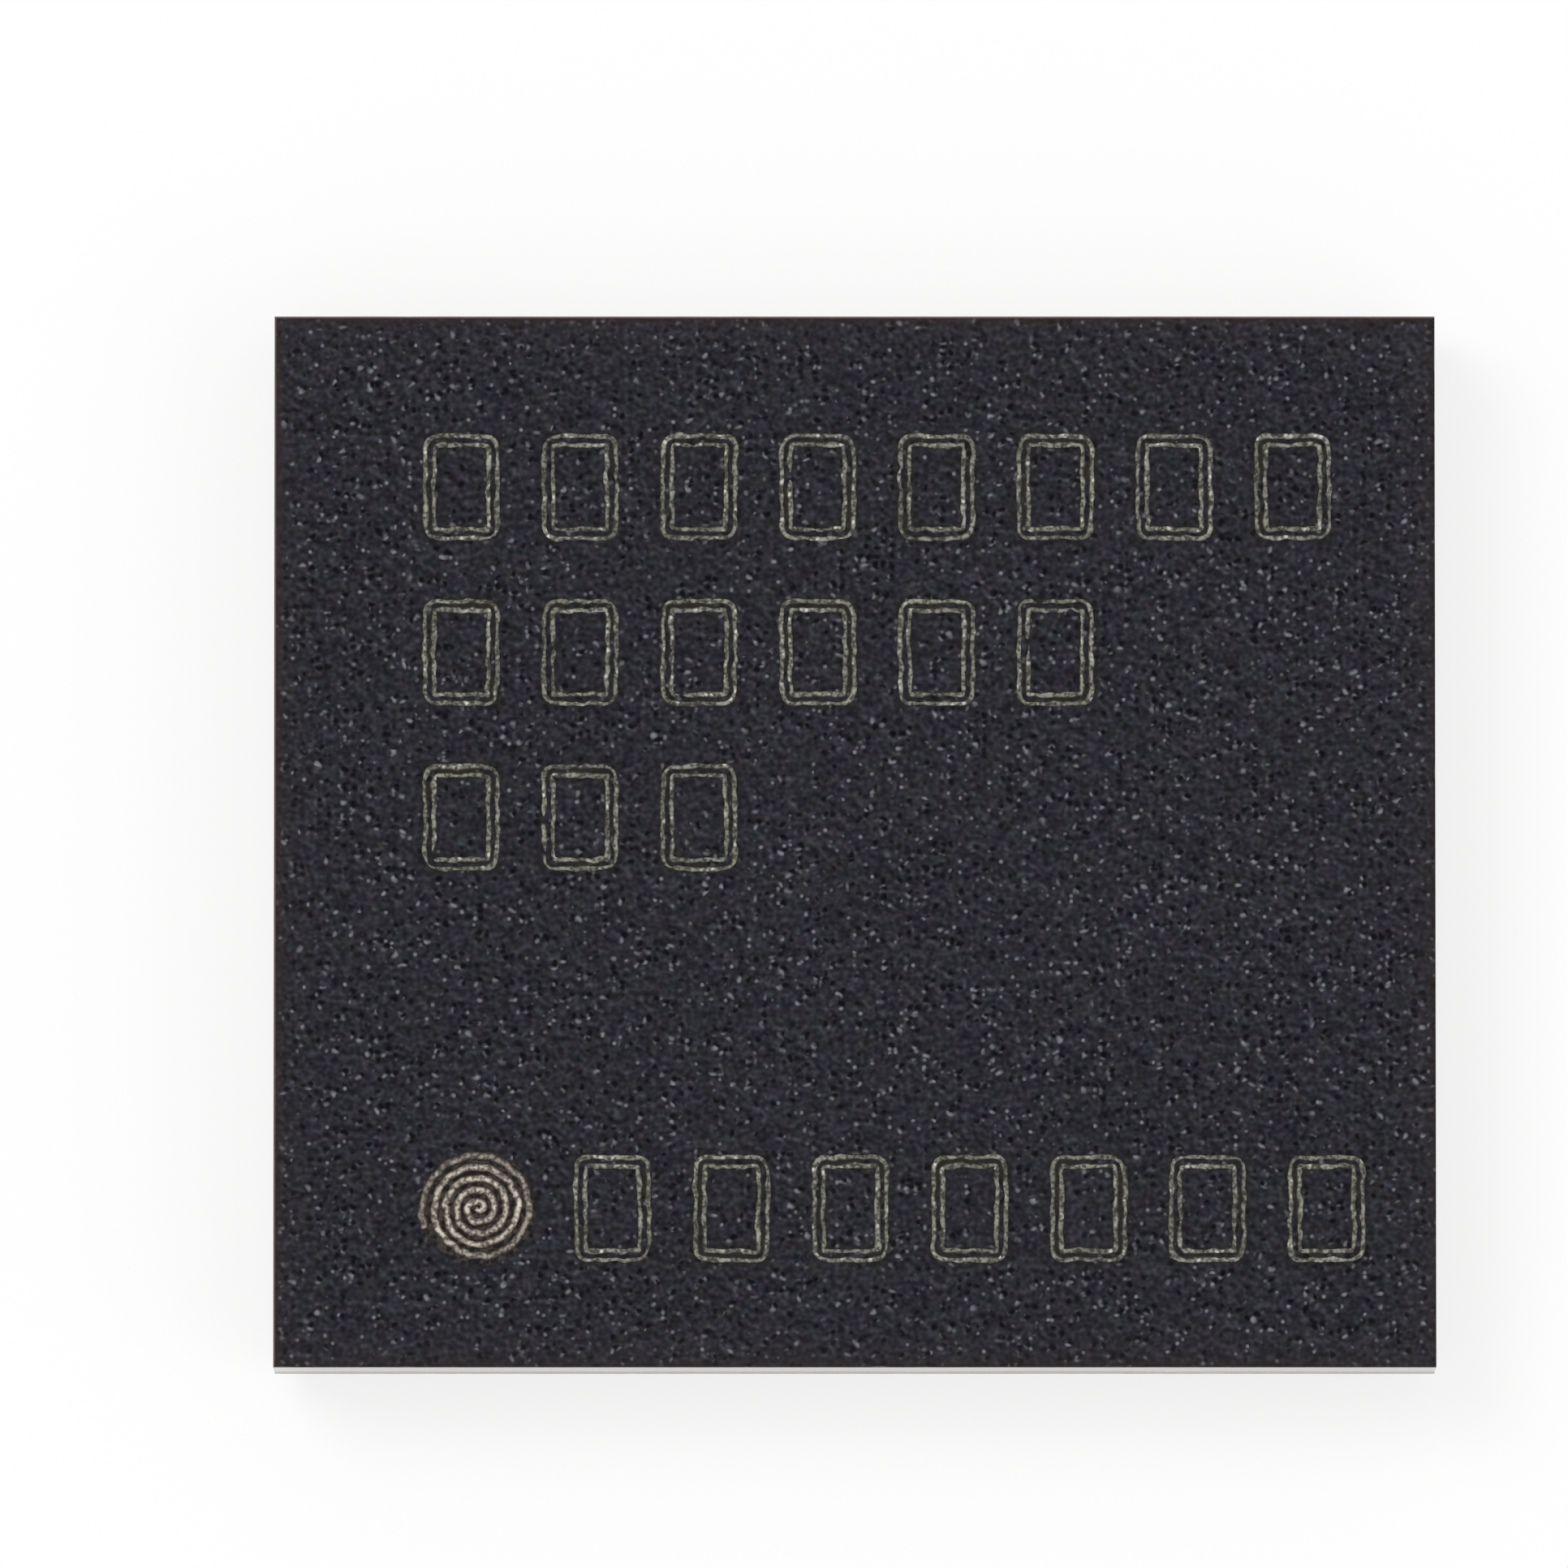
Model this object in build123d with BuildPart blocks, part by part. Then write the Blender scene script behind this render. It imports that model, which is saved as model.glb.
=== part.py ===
from build123d import *
import math
import os

# RF transceiver chip: a moulded flip-chip package on a laminate, with a staggered ball grid.
# Millimetres. The origin is the centre of the footprint, level with the tips of the balls.
# +Z goes up through the mould top, and +X runs along the package's longer side.
# Ball row A lies along the -Y side, and the package's first corner is at -X, -Y.

# Package body
body_length = 5.95
body_width = 5.40
mould_thickness = 0.38

# Laminate, from the core out to the balls
core_thickness = 0.13
copper_thickness = 0.015
mask_cover = 0.015
mask_step = 0.006
mask_drape = 0.012

# Ball grid: long and short rows take turns, and the nearest balls lie on a diagonal.
# The body holds as many rows and columns as fit inside the margin.
ball_pitch = 0.40
ball_margin = 0.28
row_letters = "abcdefghjklmnprtuvwy"

# Solder ball, cut in facets: a six-sided tip, an eight-sided belly and a six-sided seat on its pad
ball_height = 0.18
ball_diameter = 0.25
belly_sides = 8
belly_height = 0.10
tip_sides = 6
tip_diameter = 0.15
seat_sides = 6
seat_diameter = 0.21
opening_clearance = 0.002
pad_diameter = 0.29
pad_sides = 8

# Die, and the copper pillars that carry it
die_length = 4.20
die_width = 3.70
die_thickness = 0.15
pillar_height = 0.05
pillar_width = 0.08
pillar_pitch = 0.62
pillar_edge = 0.14
long_side_pillars = 6
short_side_pillars = 4

# Traces on the mould side, each from a pillar inwards to a filled via
trace_width = 0.11
trace_run = 0.42
via_width = 0.08

# Copper plane on the ball side, with a notch at each end of row B and a bare strip at -X
copper_margin = 0.09
notch_length = 0.28
notch_width = 0.26
mark_length = 0.20
mark_width = 0.18
mark_line = 0.035
strip_lead = 0.062

# Copper islands in the bare strip: the ball that each one carries, then how far it reaches
# from that ball's centre towards -X, +X, -Y and +Y
islands = (
    ("j", 0, 0.30, 0.15, 0.24, 0.13),
    ("k", 1, 0.35, 0.15, 0.10, 0.13),
    ("k", 1, 0.08, 0.15, 0.21, 0.13),
    ("l", 0, 0.30, 0.15, 0.13, 0.33),
    ("n", 0, 0.28, 0.13, 0.13, 0.35),
    ("r", 0, 0.15, 0.13, 0.13, 0.18),
    ("r", 2, 0.38, 0.00, 0.09, 0.08),
    ("u", 0, 0.30, 0.13, 0.15, 0.20),
    ("u", 2, 0.39, 0.00, 0.17, 0.10),
)

# Heights of the layers above the ball tips
land_z = ball_height
film_z = land_z + mask_step
pad_z = land_z + mask_cover
core_z = pad_z + copper_thickness
top_z = core_z + core_thickness
trace_z = top_z + copper_thickness
die_z = trace_z + pillar_height

# Spacing of neighbouring rows, and of the columns of balls that they share
step = ball_pitch / math.sqrt(2)
row_count = 1 + math.floor((body_width - 2 * ball_margin) / step)
long_row_count = 1 + math.floor((body_length - 2 * ball_margin) / (2 * step))
# The ball narrows from belly to seat, and at the mask's face it still has this share of its belly
belly_share = mask_cover / (pad_z - belly_height)
# Opening in the mask: six flats that clear the ball there
flat = math.cos(math.pi / seat_sides)
opening_flat = belly_share * ball_diameter / 2 + (1 - belly_share) * seat_diameter / 2 * flat
opening_radius = (opening_flat + opening_clearance) / flat


def column_x(column):
    """X of a column: even columns hold the long rows' balls, odd ones the short rows'."""
    return (column - (long_row_count - 1)) * step


def row_y(row):
    """Y of a row, counted from row A at the -Y side."""
    return (row - (row_count - 1) / 2) * step


def row_name(row):
    """Letters of a row: a to y without i, o, q, s and x, then aa, ab and so on."""
    first, second = divmod(row, len(row_letters))
    return row_letters[first - 1] * (first > 0) + row_letters[second]


def row_sites(row):
    """Ball centres of one row, from -X to +X: A, C, E and so on are the long rows."""
    short = row % 2
    return [(column_x(short + 2 * k), row_y(row)) for k in range(long_row_count - short)]


def ring(sides, diameter, height):
    """Corners of a level regular polygon about the Z axis, with one flat facing +X."""
    turns = [(k + 0.5) * 2 * math.pi / sides for k in range(sides)]
    return [(diameter / 2 * math.cos(a), diameter / 2 * math.sin(a), height) for a in turns]


def pillar_places(inset):
    """Centres along the four sides of the pillar ring, moved inwards by the inset."""
    reach_x = die_length - 2 * (pillar_edge + inset)
    reach_y = die_width - 2 * (pillar_edge + inset)
    long_sides = GridLocations(pillar_pitch, reach_y, long_side_pillars, 2)
    short_sides = GridLocations(reach_x, pillar_pitch, 2, short_side_pillars)
    return long_sides, short_sides


def patch(x1, y1, x2, y2, grow, mode=Mode.ADD):
    """Rectangle between two corners, with each side moved outwards by grow, or inwards for a cut."""
    spread = grow if mode == Mode.ADD else -grow
    with Locations(((x1 + x2) / 2, (y1 + y2) / 2)):
        Rectangle(abs(x2 - x1) + 2 * spread, abs(y2 - y1) + 2 * spread, mode=mode)


def draw_ball_side_copper(grow=0):
    """Adds the ball side's plane, islands, pads and marks to the open sketch, each grown by grow."""
    edge_x = body_length / 2 - copper_margin
    edge_y = body_width / 2 - copper_margin
    strip_x = column_x(2) - pad_diameter / 2
    strip_y = row_y(row_letters.index("g")) - strip_lead
    patch(-edge_x, -edge_y, edge_x, edge_y, grow)
    # The bare strip runs out past the plane's -X and +Y edges
    patch(-body_length, strip_y, strip_x, body_width, grow, Mode.SUBTRACT)
    # A notch at each end of row B, with a hollow mark at the first corner and a full one opposite
    notch_y = row_y(row_letters.index("b"))
    for side in (-1, 1):
        notch_x = side * (edge_x - notch_length)
        south = notch_y - notch_width / 2
        north = notch_y + notch_width / 2
        patch(side * body_length, south, notch_x, north, grow, Mode.SUBTRACT)
        mark_x = side * (edge_x - notch_length / 2)
        half_x = mark_length / 2
        half_y = mark_width / 2
        patch(mark_x - half_x, notch_y - half_y, mark_x + half_x, notch_y + half_y, grow)
        if side < 0:
            half_x -= mark_line
            half_y -= mark_line
            corners = (mark_x - half_x, notch_y - half_y, mark_x + half_x, notch_y + half_y)
            patch(*corners, grow, Mode.SUBTRACT)
    for letter, column, west, east, south, north in islands:
        row = row_letters.index(letter)
        if row < row_count:
            x = column_x(column)
            y = row_y(row)
            patch(x - west, y - south, x + east, y + north, grow)
    # Every other ball of the strip stands on a round pad of its own
    carried = [(column_x(island[1]), row_y(row_letters.index(island[0]))) for island in islands]
    for x, y in ball_sites:
        if x < strip_x and y > strip_y and (x, y) not in carried:
            with Locations((x, y)):
                RegularPolygon(pad_diameter / 2 + grow, pad_sides, rotation=180 / pad_sides)


ball_sites = [site for row in range(row_count) for site in row_sites(row)]
os.makedirs("parts", exist_ok=True)

# Laminate core, with a hole for each filled via
with BuildPart() as laminate_core:
    with BuildSketch(Plane.XY.offset(core_z)):
        Rectangle(body_length, body_width)
        for side in pillar_places(trace_run):
            with side:
                Rectangle(via_width, via_width, mode=Mode.SUBTRACT)
    extrude(amount=core_thickness)
laminate_core.part.label = "laminate_core"

# Filled vias, from the ball side's copper to the traces
with BuildPart() as via_posts:
    with BuildSketch(Plane.XY.offset(core_z)):
        for side in pillar_places(trace_run):
            with side:
                Rectangle(via_width, via_width)
    extrude(amount=core_thickness)
via_posts.part.label = "via_posts"

# Copper on the ball side
with BuildPart() as ball_side_copper:
    with BuildSketch(Plane.XY.offset(pad_z)):
        draw_ball_side_copper()
    extrude(amount=copper_thickness)
ball_side_copper.part.label = "ball_side_copper"

# Solder mask: a film over core and copper that stands a step lower over the copper,
# with an opening at each ball
with BuildPart() as solder_mask:
    with BuildSketch(Plane.XY.offset(film_z)):
        Rectangle(body_length, body_width)
    extrude(amount=core_z - film_z)
    with BuildSketch(Plane.XY.offset(land_z)):
        draw_ball_side_copper(mask_drape)
    extrude(amount=mask_step)
    add(ball_side_copper.part, mode=Mode.SUBTRACT)
    with BuildSketch(Plane.XY.offset(land_z)):
        with Locations(*ball_sites):
            RegularPolygon(opening_radius, seat_sides, rotation=180 / seat_sides)
    extrude(amount=mask_cover, mode=Mode.SUBTRACT)
solder_mask.part.label = "solder_mask"

# Traces on the mould side: one from each pillar to its via
with BuildPart() as mould_side_traces:
    with BuildSketch(Plane.XY.offset(top_z)):
        long_sides, short_sides = pillar_places(trace_run / 2)
        with long_sides:
            Rectangle(trace_width, trace_run + trace_width)
        with short_sides:
            Rectangle(trace_run + trace_width, trace_width)
    extrude(amount=copper_thickness)
mould_side_traces.part.label = "mould_side_traces"

# Copper pillars between the traces and the die
with BuildPart() as die_pillars:
    with BuildSketch(Plane.XY.offset(trace_z)):
        for side in pillar_places(0):
            with side:
                Rectangle(pillar_width, pillar_width)
    extrude(amount=pillar_height)
die_pillars.part.label = "die_pillars"

# Silicon die, face down on its pillars
with BuildPart() as silicon_die:
    with BuildSketch(Plane.XY.offset(die_z)):
        Rectangle(die_length, die_width)
    extrude(amount=die_thickness)
silicon_die.part.label = "silicon_die"

# Mould cap: epoxy compound that fills all round the die, its pillars and the traces
with BuildPart() as mould_cap:
    with BuildSketch(Plane.XY.offset(top_z)):
        Rectangle(body_length, body_width)
    extrude(amount=mould_thickness)
    add(silicon_die.part, mode=Mode.SUBTRACT)
    add(die_pillars.part, mode=Mode.SUBTRACT)
    add(mould_side_traces.part, mode=Mode.SUBTRACT)
mould_cap.part.label = "mould_cap"

# One solder ball, standing on its tip at the origin
with BuildPart() as solder_ball:
    tip = ring(tip_sides, tip_diameter, 0)
    belly = ring(belly_sides, ball_diameter, belly_height)
    seat = ring(seat_sides, seat_diameter, pad_z)
    ConvexPolyhedron(tip + belly + seat)

for row in range(row_count):
    with BuildPart() as ball_row:
        with Locations(*row_sites(row)):
            add(solder_ball.part)
    ball_row.part.label = "ball_row_" + row_name(row)
    export_step(ball_row.part, "parts/" + ball_row.part.label + ".step")

bodies = (
    laminate_core,
    via_posts,
    ball_side_copper,
    solder_mask,
    mould_side_traces,
    die_pillars,
    silicon_die,
    mould_cap,
)
for body in bodies:
    export_step(body.part, "parts/" + body.part.label + ".step")
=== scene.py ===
"""Dressed model of an RF transceiver chip.

A grained mould cap with laser marks stands on a laminate. Under the laminate, a glossy
solder mask lies over the copper pattern and carries a staggered grid of solder balls.
"""

import math

import bpy
import numpy as np
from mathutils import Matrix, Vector


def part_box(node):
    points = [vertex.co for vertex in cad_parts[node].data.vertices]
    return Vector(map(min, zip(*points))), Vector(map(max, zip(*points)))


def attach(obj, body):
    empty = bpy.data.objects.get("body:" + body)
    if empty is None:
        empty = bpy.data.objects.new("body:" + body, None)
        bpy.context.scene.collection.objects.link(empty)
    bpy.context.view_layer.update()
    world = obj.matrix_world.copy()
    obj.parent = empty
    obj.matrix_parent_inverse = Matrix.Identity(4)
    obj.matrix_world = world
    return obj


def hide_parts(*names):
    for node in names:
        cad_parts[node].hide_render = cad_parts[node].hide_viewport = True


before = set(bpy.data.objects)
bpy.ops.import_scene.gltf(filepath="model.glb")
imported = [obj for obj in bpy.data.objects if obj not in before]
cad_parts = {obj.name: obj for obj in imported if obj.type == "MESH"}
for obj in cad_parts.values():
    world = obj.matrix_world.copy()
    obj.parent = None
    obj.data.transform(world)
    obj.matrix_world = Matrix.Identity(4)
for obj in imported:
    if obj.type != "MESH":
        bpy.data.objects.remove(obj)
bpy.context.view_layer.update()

bl_info = {
    "name": "RF Transceiver Chip",
    "version": (1, 0, 0),
    "blender": (4, 5, 0),
    "location": "View3D > Sidebar > Chip",
    "description": "Builds the pieces, finishes and studio of an RF transceiver chip",
    "category": "Object",
}

MM = 0.001
UM = 0.000001
FULL_TURN = 2 * math.pi


# What the solid model gives: the boxes of its nodes and the places of the balls

def corners(node):
    """Lowest and highest corner of a node of the solid model, as two arrays."""
    low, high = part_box(node)
    return np.array(low), np.array(high)


CAP_LOW, CAP_HIGH = corners("mould_cap")
MASK_LOW, MASK_HIGH = corners("solder_mask")
COPPER_LOW, COPPER_HIGH = corners("ball_side_copper")
ROW_NODES = sorted(
    (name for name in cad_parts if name.startswith("ball_row_")),
    key=lambda name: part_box(name)[0].y,
)
ROW_BOXES = [corners(name) for name in ROW_NODES]
ROW_Y = [(low[1] + high[1]) / 2 for low, high in ROW_BOXES]
ROW_STEP = (ROW_Y[-1] - ROW_Y[0]) / (len(ROW_Y) - 1)
BELLY_SIDES = 8
BALL_FLATS = ROW_BOXES[0][1][1] - ROW_BOXES[0][0][1]
BALL_DIAMETER = BALL_FLATS / math.cos(math.pi / BELLY_SIDES)
SEAT_Z = ROW_BOXES[0][1][2]


def row_centres(low, high):
    """X of every ball of a row: one at each end, and the others two row steps apart."""
    first = low[0] + BALL_FLATS / 2
    last = high[0] - BALL_FLATS / 2
    return np.linspace(first, last, round((last - first) / (2 * ROW_STEP)) + 1)


BALLS = np.array(
    [(x, y) for (low, high), y in zip(ROW_BOXES, ROW_Y) for x in row_centres(low, high)]
)
COLUMN_ZERO = BALLS[:, 0].min()


def column_x(column):
    """X of a column, counted from the -X side; long rows use the even columns."""
    return COLUMN_ZERO + column * ROW_STEP


# Sizes and colours that a user would change

class MouldSettings(bpy.types.PropertyGroup):
    """Mould cap."""

    cell: bpy.props.FloatProperty(
        name="Cell", description="Spacing of the top's grid",
        default=20 * UM, unit="LENGTH", precision=6)
    grain: bpy.props.FloatProperty(
        name="Grain", description="Depth of the top's grain",
        default=5 * UM, unit="LENGTH", precision=6)
    sawn: bpy.props.FloatProperty(
        name="Sawn depth", description="Unevenness of the sawn sides",
        default=3 * UM, unit="LENGTH", precision=6)
    compound: bpy.props.FloatVectorProperty(
        name="Compound", description="Colour of the moulding compound",
        default=(0.242, 0.234, 0.306), subtype="COLOR")
    # Also the colour of the painted glints on the top
    filler: bpy.props.FloatVectorProperty(
        name="Filler", description="Colour of the glass filler that shows in the surface",
        default=(0.255, 0.255, 0.288), subtype="COLOR")


class MarkSettings(bpy.types.PropertyGroup):
    """Laser marks on the mould cap."""

    cell_width: bpy.props.FloatProperty(
        name="Cell width", description="Width of one blank mark cell over its strokes",
        default=0.400 * MM, unit="LENGTH", precision=6)
    cell_height: bpy.props.FloatProperty(
        name="Cell height", description="Height of one blank mark cell over its strokes",
        default=0.556 * MM, unit="LENGTH", precision=6)
    cell_pitch: bpy.props.FloatProperty(
        name="Cell pitch", description="Distance from one cell of a line to the next",
        default=0.609 * MM, unit="LENGTH", precision=6)
    stroke: bpy.props.FloatProperty(
        name="Stroke", description="Width of a stroke over its two ridges",
        default=76 * UM, unit="LENGTH", precision=6)
    dot_radius: bpy.props.FloatProperty(
        name="Dot radius", description="Outer radius of the spiral at the first corner",
        default=0.288 * MM, unit="LENGTH", precision=6)
    dot_pitch: bpy.props.FloatProperty(
        name="Dot pitch", description="Distance from one turn of the spiral to the next",
        default=57.5 * UM, unit="LENGTH", precision=6)
    burnt: bpy.props.FloatVectorProperty(
        name="Burnt", description="Colour between the ridges, where the laser went",
        default=(0.016, 0.015, 0.012), subtype="COLOR")
    ridge: bpy.props.FloatVectorProperty(
        name="Ridge", description="Colour of the ridges that the laser threw up",
        default=(0.400, 0.392, 0.325), subtype="COLOR")


class MaskSettings(bpy.types.PropertyGroup):
    """Solder mask on the ball side."""

    cells: bpy.props.IntProperty(
        name="Cells", description="Cells of the mask's grid between neighbouring columns",
        default=15, min=6, max=16)
    ring_radius: bpy.props.FloatProperty(
        name="Ring radius", description="Radius of the round step about each ball",
        default=0.170 * MM, unit="LENGTH", precision=6)
    over_board: bpy.props.FloatVectorProperty(
        name="Over laminate", description="Colour of the mask where it lies on laminate",
        default=(0.0080, 0.0400, 0.0270), subtype="COLOR")
    over_copper: bpy.props.FloatVectorProperty(
        name="Over copper", description="Colour of the mask where it lies on copper",
        default=(0.0130, 0.0120, 0.0105), subtype="COLOR")


class SolderSettings(bpy.types.PropertyGroup):
    """Solder balls."""

    around: bpy.props.IntProperty(
        name="Faces around", description="Faces around each ball",
        default=14, min=8, max=16)
    dent: bpy.props.FloatProperty(
        name="Dents", description="Depth of the flats on a ball, as a share of its radius",
        default=0.07, min=0, max=0.2)
    solder: bpy.props.FloatVectorProperty(
        name="Solder", description="Colour of the solder",
        default=(0.44, 0.428, 0.405), subtype="COLOR")


class LaminateSettings(bpy.types.PropertyGroup):
    """Laminate and the metal and silicon inside the package."""

    resin: bpy.props.FloatVectorProperty(
        name="Resin", description="Colour of the laminate's resin at the sawn edge",
        default=(0.275, 0.155, 0.078), subtype="COLOR")
    glass: bpy.props.FloatVectorProperty(
        name="Glass", description="Colour of the glass bundles at the sawn edge",
        default=(0.38, 0.265, 0.160), subtype="COLOR")
    copper: bpy.props.FloatVectorProperty(
        name="Copper", description="Colour of the copper layers",
        default=(0.74, 0.36, 0.20), subtype="COLOR")


class StudioSettings(bpy.types.PropertyGroup):
    """Floor, light and camera."""

    distance: bpy.props.FloatProperty(
        name="Distance", description="From the camera to the middle of the picture",
        default=0.15, unit="LENGTH")
    elevation: bpy.props.FloatProperty(
        name="Elevation", description="Height of the camera above the horizon",
        default=math.radians(85.3), subtype="ANGLE")
    azimuth: bpy.props.FloatProperty(
        name="Azimuth", description="Turn of the camera about the upright axis",
        default=0, subtype="ANGLE")
    field: bpy.props.FloatProperty(
        name="Field", description="Width of the picture at the mould cap's top",
        default=8.033 * MM, unit="LENGTH", precision=6)
    floor: bpy.props.FloatVectorProperty(
        name="Floor", description="Colour of the floor",
        default=(0.90, 0.90, 0.90), subtype="COLOR")


SETTINGS = {
    "chip_mould": MouldSettings,
    "chip_marks": MarkSettings,
    "chip_mask": MaskSettings,
    "chip_solder": SolderSettings,
    "chip_laminate": LaminateSettings,
    "chip_studio": StudioSettings,
}


# Shader maths

class Value:
    """One socket of a material. Sums on it add Math nodes."""

    def __init__(self, finish, socket):
        self.finish = finish
        self.socket = socket

    def __add__(self, other):
        return self.finish.math("ADD", self, other)

    def __radd__(self, other):
        return self.finish.math("ADD", other, self)

    def __sub__(self, other):
        return self.finish.math("SUBTRACT", self, other)

    def __rsub__(self, other):
        return self.finish.math("SUBTRACT", other, self)

    def __mul__(self, other):
        return self.finish.math("MULTIPLY", self, other)

    def __rmul__(self, other):
        return self.finish.math("MULTIPLY", other, self)

    def __rpow__(self, other):
        return self.finish.math("POWER", other, self)

    def __abs__(self):
        return self.finish.math("ABSOLUTE", self)

    def step(self, low, high):
        """0 at low, 1 at high, and smooth between; high may be the lower number."""
        values = {"Value": self, "From Min": low, "From Max": high}
        return self.finish.node("ShaderNodeMapRange", {"interpolation_type": "SMOOTHSTEP"}, values)


class Finish:
    """One material, written as sums on its values."""

    def __init__(self, name, **constants):
        self.material = bpy.data.materials.new(name)
        self.material.use_nodes = True
        self.tree = self.material.node_tree
        self.shader = self.tree.nodes["Principled BSDF"]
        for socket, value in constants.items():
            self.shader.inputs[socket.replace("_", " ")].default_value = value

    def node(self, kind, settings=None, inputs=None, output=0):
        """Adds a node: first its settings, then what its sockets get; gives one output."""
        made = self.tree.nodes.new(kind)
        for name, value in (settings or {}).items():
            setattr(made, name, value)
        for name, value in (inputs or {}).items():
            self.feed(made.inputs[name], value)
        return Value(self, made.outputs[output])

    def math(self, operation, *terms):
        """Adds a Math node on these terms, in their order."""
        return self.node("ShaderNodeMath", {"operation": operation}, dict(enumerate(terms)))

    def feed(self, socket, value):
        """Links a value to a socket, or sets the socket's own number or colour."""
        if isinstance(value, Value):
            self.tree.links.new(value.socket, socket)
        elif hasattr(value, "__len__") and len(value) < len(socket.default_value):
            socket.default_value = (*value, 1)
        else:
            socket.default_value = value

    def place(self, stretch=(1, 1, 1), shift=(0, 0, 0)):
        """Place on the object in metres, each axis multiplied by its stretch, then shifted."""
        where = self.node("ShaderNodeTexCoord", output=3)
        values = {"Vector": where, "Scale": stretch, "Location": shift}
        return self.node("ShaderNodeMapping", None, values)

    def axes(self):
        """X, Y and Z of the place on the object, in metres."""
        split = self.tree.nodes.new("ShaderNodeSeparateXYZ")
        self.feed(split.inputs[0], self.node("ShaderNodeTexCoord", output=3))
        return [Value(self, split.outputs[k]) for k in range(3)]

    def attribute(self, name):
        """A number that the mesh carries at its points."""
        return self.node("ShaderNodeAttribute", {"attribute_name": name}, output=2)

    def noise(self, where, wave, detail=2.0, rough=0.5):
        """Noise from 0 to 1 whose coarsest wave is this long."""
        values = {"Vector": where, "Scale": 1 / wave, "Detail": detail, "Roughness": rough}
        return self.node("ShaderNodeTexNoise", None, values)

    def hues(self, where, wave, detail=0.0):
        """Three noises at once, as the three parts of a colour."""
        values = {"Vector": where, "Scale": 1 / wave, "Detail": detail}
        return self.node("ShaderNodeTexNoise", None, values, 1)

    def ruffled(self, where, wave, reach):
        """This place, pushed about along each axis by noise, by up to twice the reach."""
        values = {0: self.hues(where, wave), 1: (2 * reach,) * 3, 2: where}
        return self.node("ShaderNodeVectorMath", {"operation": "MULTIPLY_ADD"}, values)

    def specks(self, where, spacing):
        """Distance from the nearest speck in shares of the spacing, and a number for each."""
        values = {"Vector": where, "Scale": 1 / spacing}
        reach = self.node("ShaderNodeTexVoronoi", None, values)
        shade = Value(self, reach.socket.node.outputs["Color"])
        return reach, self.node("ShaderNodeSeparateColor", None, {0: shade})

    def mix(self, share, first, second):
        """Colour that goes from the first to the second as the share goes from 0 to 1."""
        values = {0: share, 6: first, 7: second}
        return self.node("ShaderNodeMix", {"data_type": "RGBA"}, values, 2)

    def bump(self, height, depth):
        """Relief of this depth in metres where the height goes from 0 to 1."""
        values = {"Height": height, "Distance": depth, "Strength": 1.0}
        return self.node("ShaderNodeBump", None, values)

    def paint(self, **inputs):
        """Feeds the shader's sockets; an underline in a name stands for a space."""
        for socket, value in inputs.items():
            self.feed(self.shader.inputs[socket.replace("_", " ")], value)
        return self.material


# Grain of the mould's top, and its colours besides those in the settings

SWELL_WAVE = 44 * UM
SPECK_SPACING = 41 * UM
FLANK_SHIFT = (5 * UM, 10 * UM, 0)
GRAIN_CONTRAST = 300.0
# Darkest colour of the grain, partly painted shade on the swells' dark flanks
FLANK_SHADE_AND_DARK_GRAIN = (0.0003, 0.0002, 0.0020)
# Painted shade of the pits
PAINTED_PIT_SHADE = (0.0012, 0.0011, 0.0028)
SOOT, ASH = (0.0130, 0.0110, 0.0095), (0.072, 0.058, 0.050)
RIM_TINT = (0.060, 0.048, 0.045)
EDGE_BAND = (0.032, 0.024, 0.021)
# Painted light on the bevel of the two sides that face the upper left light: a dark reddish band
# and a pale highlight line
PAINTED_LIT_BEVEL_BAND, PAINTED_BEVEL_HIGHLIGHT = (0.040, 0.018, 0.016), (0.19, 0.15, 0.135)
SAWN_DARK, SAWN_PALE = (0.040, 0.038, 0.037), (0.068, 0.065, 0.063)
CUT_FILLER = (0.125, 0.122, 0.118)


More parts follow.
